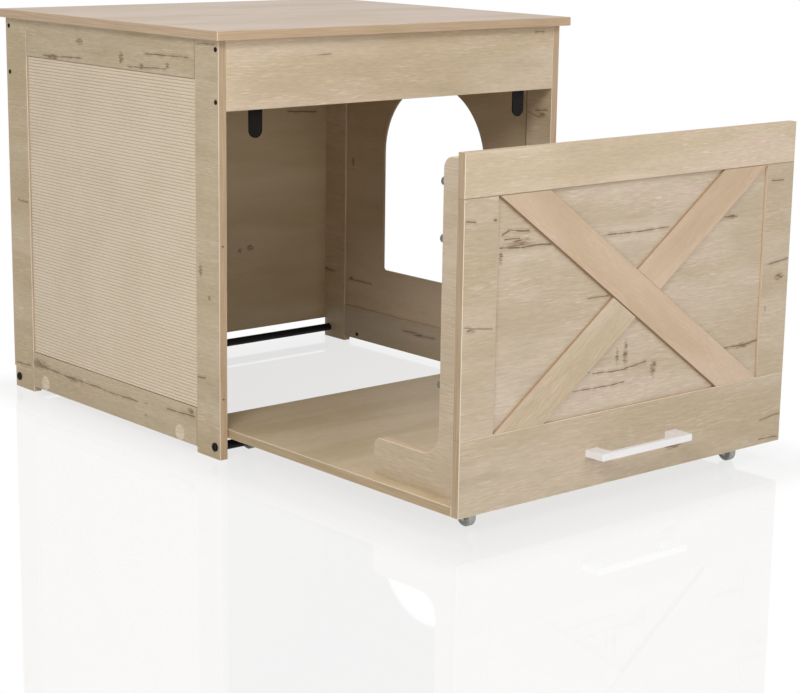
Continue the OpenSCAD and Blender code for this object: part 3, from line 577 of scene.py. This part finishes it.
def easedCopy(nodeName, ease):
    # a merged copy of a CAD node, whose outer edges get a small round of radius ease
    mesh = cadNodes[nodeName].data.copy()
    work = bmesh.new()
    work.from_mesh(mesh)
    bmesh.ops.remove_doubles(work, verts=work.verts, dist=easing["merge"])
    bmesh.ops.dissolve_limit(work, angle_limit=easing["flat"], verts=work.verts, edges=work.edges)
    sharp = [edge for edge in work.edges if len(edge.link_faces) == 2
             and edge.calc_face_angle_signed() > easing["sharp"]
             and edge.calc_length() > easing["shortest"]]
    bmesh.ops.bevel(work, geom=sharp, offset=ease, segments=easing["steps"], profile=0.5,
                    affect="EDGES", clamp_overlap=False)
    bmesh.ops.recalc_face_normals(work, faces=work.faces)
    work.to_mesh(mesh)
    work.free()
    if "custom_normal" in mesh.attributes:
        mesh.attributes.remove(mesh.attributes["custom_normal"])
    mesh.polygons.foreach_set("use_smooth", np.zeros(len(mesh.polygons), bool))
    made = bpy.data.objects.new(camel(nodeName), mesh)
    scene.collection.objects.link(made)
    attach(made, bodyOf(nodeName))
    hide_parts(nodeName)
    return made


for number, nodeName in enumerate(boards, 1):
    dress(easedCopy(nodeName, easing["board"]), makeBoardMaterial(nodeName, number))
print("boards printed:", len(boards))

# the scratch mat: woven ribs, glued flat in the left frame
mat = {
    "ribs": 97,
    "stepsPerRib": 5,
    "stitches": 41,
    "stepsPerStitch": 3,
    "ribRise": 0.9 * mm,
    "ribFullness": 0.6,  # below 1 the ribs get rounder
    "stitchDip": 0.25 * mm,
    "rollIn": 1.6 * mm,  # how far from its edges the face comes down
    "rimShare": 0.25,  # and to which share of its thickness
    # the fibre's two tones; laid on by the ribs' crowns they are also painted highlight and painted
    # shade
    "light": srgb(246, 230, 206),
    "dark": srgb(202, 177, 144),
    "shade": srgb(116, 94, 66),
    "shadeWidth": (1 * mm, 4 * mm),  # painted shade in the grooves at the rear edge, full and gone
    "waver": 0.07,  # how far the print of a rib strays, in ribs
    "waverLumps": (20, 60, 200),
    "strands": 230.0,  # in a metre along a rib
    "hairLumps": (900, 900, 900),
    "cloudLumps": (14, 14, 14),
    "roughness": 0.9,
    "sheen": 0.15,
    "bumpDepth": 0.5 * mm,
}


def gridFaces(rows, columns):
    # the quads of a rows x columns grid of points
    first = (np.arange(rows - 1)[:, None] * columns + np.arange(columns - 1)).ravel()
    return np.stack([first, first + 1, first + columns + 1, first + columns], axis=1)


def gridBorder(rows, columns):
    # the numbers of the points round such a grid, once round
    first, last = np.arange(columns), (rows - 1) * columns
    return np.concatenate([first, np.arange(1, rows) * columns + columns - 1,
                           last + first[-2::-1], np.arange(rows - 2, 0, -1) * columns])


def meshFrom(name, points, faces, smooth=True):
    mesh = bpy.data.meshes.new(name)
    mesh.from_pydata(points.reshape(-1, 3), [], faces)
    mesh.polygons.foreach_set("use_smooth", np.full(len(mesh.polygons), smooth))
    mesh.update()
    made = bpy.data.objects.new(name, mesh)
    scene.collection.objects.link(made)
    return made


def makeMat():
    # The face stands out from the flat back by: what is left of the thickness, plus the rib rise
    # times a power of a half sine wave of the height, less a small dip at each stitch. Near the
    # four edges a quarter circle brings it down to the rim's share of that.
    low, high = (np.array(corner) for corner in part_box("scratch_mat"))
    size = high - low
    rows = mat["ribs"] * mat["stepsPerRib"] + 1
    columns = mat["stitches"] * mat["stepsPerStitch"] + 1
    up, across = np.meshgrid(np.linspace(0, 1, rows), np.linspace(0, 1, columns), indexing="ij")
    rib = np.abs(np.sin(np.pi * mat["ribs"] * up)) ** mat["ribFullness"]
    rowOf = np.floor(np.clip(up * mat["ribs"], 0, mat["ribs"] - 1))
    stitch = np.cos(2 * np.pi * (across * mat["stitches"] + 0.5 * (rowOf % 2)))
    dip = stitch * mat["stitchDip"] * rib
    thick = (size[0] - mat["ribRise"] - mat["stitchDip"]) + mat["ribRise"] * rib - dip
    edge = np.minimum(np.minimum(across, 1 - across) * size[1], np.minimum(up, 1 - up) * size[2])
    roll = np.sqrt(np.clip(1 - (1 - np.clip(edge / mat["rollIn"], 0, 1)) ** 2, 0, 1))
    stand = thick * (mat["rimShare"] + (1 - mat["rimShare"]) * roll)
    face = np.stack([high[0] - stand, low[1] + size[1] * across, low[2] + size[2] * up], axis=-1)
    face = face.reshape(-1, 3)
    ring = gridBorder(rows, columns)
    back = face[ring]
    back[:, 0] = high[0]
    backRing = len(face) + np.arange(len(ring))
    rim = np.stack([ring, np.roll(ring, -1), np.roll(backRing, -1), backRing], axis=1)
    quads = gridFaces(rows, columns)[:, ::-1]  # turned round, because the face looks to -X
    faces = [*quads.tolist(), *rim.tolist(), backRing.tolist()]
    return meshFrom("scratchMat", np.concatenate([face, back]), faces), size


def makeMatMaterial():
    # pale on the rib crowns and strands and dark between them, which is painted highlight and
    # painted shade that follow the relief, with fine hairs; painted shade in the grooves by the
    # rear edge
    material, tree, shader, texture = newMaterial("sisalWeave")
    place = texture["Object"]
    where = split(tree, place)
    low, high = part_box("scratch_mat")
    ribs = mat["ribs"] / (high.z - low.z)
    slow = noise(tree, place, mat["waverLumps"], 1, 0.5)
    bend = ramp(tree, slow, 0.2, 0.8, -mat["waver"], mat["waver"], False)
    up = maths(tree, "MULTIPLY", maths(tree, "SUBTRACT", where[2], low.z), ribs)
    wave = maths(tree, "MULTIPLY", maths(tree, "ADD", up, bend), math.pi)
    crown = maths(tree, "ABSOLUTE", maths(tree, "SINE", wave))
    twist = maths(tree, "ADD", maths(tree, "MULTIPLY", where[1], mat["strands"]),
                  maths(tree, "MULTIPLY", up, 0.5))
    strand = maths(tree, "ABSOLUTE", maths(tree, "SINE", maths(tree, "MULTIPLY", twist, math.pi)))
    hair = noise(tree, place, mat["hairLumps"], 3, 0.65)
    cloud = noise(tree, place, mat["cloudLumps"], 2, 0.5)
    share = maths(tree, "ADD", ramp(tree, crown, 0.0, 0.7, 0.0, 0.85),
                  ramp(tree, hair, 0.3, 0.7, -0.2, 0.25))
    share = maths(tree, "ADD", share, ramp(tree, cloud, 0.3, 0.7, -0.05, 0.06))
    share = maths(tree, "ADD", share, ramp(tree, strand, 0.0, 0.5, -0.3, 0.05), clamp=True)
    colour = blendColour(tree, share, mat["dark"], mat["light"])
    rear = ramp(tree, maths(tree, "SUBTRACT", high.y, where[1]), *mat["shadeWidth"], 0.8, 0)
    rearShade = maths(tree, "MULTIPLY", rear, ramp(tree, crown, 0.1, 0.6, 1, 0))
    # painted shade in the grooves by the rear edge
    colour = blendColour(tree, rearShade, colour, mat["shade"])
    tree.links.new(colour, shader.inputs["Base Color"])
    shader.inputs["Roughness"].default_value = mat["roughness"]
    shader.inputs["Sheen Weight"].default_value = mat["sheen"]
    height = maths(tree, "ADD", maths(tree, "MULTIPLY", strand, 0.6), hair)
    addBump(tree, shader, height, 0.6, mat["bumpDepth"])
    return material


scratchMat, matSize = makeMat()
dress(scratchMat, makeMatMaterial())
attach(scratchMat, bodyOf("scratch_mat"))
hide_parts("scratch_mat")
print("mat woven:", mat["ribs"], "ribs")

# each coat: its colour, its roughness, its specks in a metre and how much darker they are,
# how metallic it is and its gloss
coats = {
    "blackCoat": (srgb(27, 24, 24), 0.5, 900, 0.25, 0.0, 0.12),
    # painted shade: a darker copy of the zinc for bolt heads that sit in shadow
    "shadedZinc": (srgb(118, 121, 117), 0.4, 500, 0.2, 0.4, 0.5),
    "zinc": (srgb(176, 178, 180), 0.32, 500, 0.15, 1.0, 0.5),
    "whiteLacquer": (srgb(250, 247, 248), 0.4, 400, 0.02, 0.0, 0.5),
    # greyRubber is partly painted light: paler, so that wheels in shade under the drawer come out
    # light
    "greyRubber": (srgb(205, 208, 205), 0.45, 600, 0.12, 0.0, 0.5),
    "beechWood": (srgb(204, 172, 126), 0.6, 300, 0.18, 0.0, 0.5),
}
coatBumpDepth = 0.05 * mm


def makeCoated(name, colour, roughness, specks, speckDark, metallic, gloss):
    # an even coat whose tone and gloss vary a little
    material, tree, shader, texture = newMaterial(name)
    cloud = noise(tree, texture["Object"], (specks, specks, specks), 3, 0.6)
    darker = tuple(c * (1 - speckDark) for c in colour[:3]) + (1,)
    tone = blendColour(tree, ramp(tree, cloud, 0.35, 0.65), colour, darker)
    tree.links.new(tone, shader.inputs["Base Color"])
    rough = ramp(tree, cloud, 0.3, 0.7, roughness - 0.05, roughness + 0.07)
    tree.links.new(rough, shader.inputs["Roughness"])
    shader.inputs["Metallic"].default_value = metallic
    shader.inputs["Specular IOR Level"].default_value = gloss
    addBump(tree, shader, cloud, 0.3, coatBumpDepth)
    return material


# the stick-on discs over the spare holes
disc = {
    "pale": srgb(240, 226, 198),
    "line": srgb(221, 205, 174),
    # painted shade: the disc's back, seen through the hole, darkened
    "glue": srgb(52, 40, 30),
    "roughness": 0.55,
    "lumps": (40, 520, 40),  # in a metre along the grain, across it and through the disc
}


def makeDiscMaterial():
    # a paper disc with a printed grain, paler and yellower than the board; its back, seen through
    # the hole, dark as painted shade
    material, tree, shader, texture = newMaterial("discPrint")
    where = split(tree, texture["Object"])
    place = combine(tree, where[1], where[2], where[0])
    line = noise(tree, place, disc["lumps"], 2, 0.6)
    face = blendColour(tree, ramp(tree, line, 0.4, 0.62), disc["pale"], disc["line"])
    sideways = split(tree, texture["Normal"])[0]
    inward = maths(tree, "LESS_THAN", maths(tree, "MULTIPLY", sideways, where[0]), 0.0)
    colour = blendColour(tree, inward, face, disc["glue"])
    tree.links.new(colour, shader.inputs["Base Color"])
    rough = ramp(tree, line, 0.3, 0.7, disc["roughness"] - 0.05, disc["roughness"] + 0.05)
    tree.links.new(rough, shader.inputs["Roughness"])
    addBump(tree, shader, line, 0.3, coatBumpDepth)
    return material


finishOf = {
    "blackCoat": ["rear_tube", "left_front_stub", "right_front_stub", "tube_bolts", "apron_screws",
                  "rear_rail_screws", "back_panel_screws", "left_stop_plate", "right_stop_plate",
                  "stop_plate_screws", "gusset_screws", "handle_screws"],
    "shadedZinc": ["gusset_bolts"],
    "zinc": ["top_cams", "top_cam_bolts", "caster_fork_fl", "caster_fork_fr", "caster_fork_rl",
             "caster_fork_rr", "caster_axles", "caster_screws"],
    "beechWood": ["side_dowels", "drawer_dowels", "tray_dowels"],
    "greyRubber": ["caster_wheel_fl", "caster_wheel_fr", "caster_wheel_rl", "caster_wheel_rr"],
}
finishes = {name: makeCoated(name, *values) for name, values in coats.items()}
for finish, nodeNames in finishOf.items():
    for nodeName in nodeNames:
        dress(cadNodes[nodeName], finishes[finish])
dress(cadNodes["hole_covers"], makeDiscMaterial())
dress(easedCopy("handle", easing["handle"]), finishes["whiteLacquer"])
print("hardware finished")

# floor, light and air
studio = {
    "floorSize": 60.0,
    "floorDrop": 0.02 * mm,  # how far the floor lies below the wheels
    "floorTone": (0.75, 0.75, 0.75, 1),
    "whiten": 0.82,  # the share of plain white below the object
    "fade": 0.09,  # over this distance from its footprint the floor turns all white, metres
    "mirror": 0.11,
    "ambient": 0.25,
    "aim": (0.0, 0.0, 0.28),
    # each lamp: where it hangs, its power and its width
    "lamps": {
        "leftLamp": ((-2.5, -1.7, 2.2), 43.0, 1.4),
        "lowLamp": ((-0.5, -3.8, 1.1), 22.0, 1.4),
        "frontLamp": ((0.4, -3.0, 2.9), 22.0, 1.4),
        "topLamp": ((0.0, 0.45, 3.2), 33.0, 1.8),
    },
}
plainWhite = (1, 1, 1, 1)


def seenOrMirrored(tree):
    # 1 for rays from the camera, off a gloss or through glass, 0 for the rest
    path = tree.nodes.new("ShaderNodeLightPath").outputs
    direct = maths(tree, "MAXIMUM", path["Is Camera Ray"], path["Is Glossy Ray"])
    return maths(tree, "MAXIMUM", direct, path["Is Transmission Ray"])


def makeFloor():
    # a flat square under the object: white where it is seen, with the object's shadow and a
    # little gloss
    half = studio["floorSize"] / 2
    grid = np.linspace(-half, half, 3)
    x, y = np.meshgrid(grid, grid)
    points = np.stack([x, y, np.full_like(x, -studio["floorDrop"])], axis=-1)
    floor = meshFrom("floor", points, gridFaces(3, 3).tolist(), False)
    material, tree, shader, texture = newMaterial("paleFloor")
    shader.inputs["Base Color"].default_value = studio["floorTone"]
    shader.inputs["Roughness"].default_value = 0.9
    corner = (max(cadHigh[0], -cadLow[0]), max(cadHigh[1], -cadLow[1]), 0)
    beyond = vectors(tree, "SUBTRACT", vectors(tree, "ABSOLUTE", texture["Object"]), corner)
    away = vectors(tree, "LENGTH", vectors(tree, "MAXIMUM", beyond, (0, 0, 0)))
    far = ramp(tree, away, 0.0, studio["fade"], studio["whiten"], 1.0)
    share = maths(tree, "MULTIPLY", seenOrMirrored(tree), far)
    glow = addNode(tree, "ShaderNodeEmission", {"Color": plainWhite, "Strength": 1.0})
    white = addNode(tree, "ShaderNodeMixShader", {0: share, 1: shader.outputs[0],
                                                  2: glow.outputs[0]})
    mirror = addNode(tree, "ShaderNodeBsdfGlossy", {"Color": plainWhite, "Roughness": 0.03})
    lit = addNode(tree, "ShaderNodeMixShader", {0: studio["mirror"], 1: white.outputs[0],
                                                2: mirror.outputs[0]})
    tree.links.new(lit.outputs[0], tree.nodes["Material Output"].inputs["Surface"])
    dress(floor, material)


def makeWorld():
    # white where the camera and mirrors look, a plain soft grey for everything else
    world = bpy.data.worlds.new("studioAir")
    scene.world = world
    world.use_nodes = True
    tree = world.node_tree
    seen = seenOrMirrored(tree)
    colour = blendColour(tree, seen, (0.98, 0.99, 1.0, 1), plainWhite)
    strength = ramp(tree, seen, 0, 1, studio["ambient"], 1.0, False)
    tree.links.new(colour, tree.nodes["Background"].inputs[0])
    tree.links.new(strength, tree.nodes["Background"].inputs[1])


def addLamp(name, place, power, width):
    # a soft round lamp that looks at the studio's aim
    lamp = bpy.data.lights.new(name, "AREA")
    lamp.shape = "DISK"
    lamp.size = width
    lamp.energy = power
    holder = bpy.data.objects.new(name, lamp)
    scene.collection.objects.link(holder)
    holder.location = place
    aim = np.array(studio["aim"]) - np.array(place)
    holder.rotation_euler = (math.acos(-aim[2] / np.linalg.norm(aim)), 0,
                             math.atan2(aim[1], aim[0]) - math.pi / 2)


makeFloor()
makeWorld()
for lampName, lampValues in studio["lamps"].items():
    addLamp(lampName, *lampValues)

# where the camera stands and how it looks, fitted to the object's corners; angles in degrees
view = {
    "place": (-1.79814, -2.12777, 0.73345),
    "azimuth": -40.66,
    "elevation": 12.65,
    "roll": 0.85,
    "focal": 2041.4,  # in pixels of the picture
    "width": 800,  # the picture's, in pixels
    "sensor": 36.0,  # mm
}


def makeCamera():
    # looks back along the azimuth and elevation, then rolls about its own axis
    turn, rise, roll = (math.radians(view[key]) for key in ("azimuth", "elevation", "roll"))
    back = np.array([math.sin(turn) * math.cos(rise), -math.cos(turn) * math.cos(rise),
                     math.sin(rise)])
    level = np.array([math.cos(turn), math.sin(turn), 0.0])
    top = np.cross(back, level)
    right = math.cos(roll) * level + math.sin(roll) * top
    up = math.cos(roll) * top - math.sin(roll) * level
    data = bpy.data.cameras.new("camera")
    data.sensor_width = view["sensor"]
    data.lens = view["focal"] / view["width"] * view["sensor"]
    camera = bpy.data.objects.new("camera", data)
    scene.collection.objects.link(camera)
    matrix = np.eye(4)
    matrix[:3] = np.stack([right, up, back, view["place"]], axis=1)
    camera.matrix_world = Matrix(matrix.tolist())
    scene.camera = camera


makeCamera()
scene.view_settings.view_transform = "Standard"
print("studio and camera set")
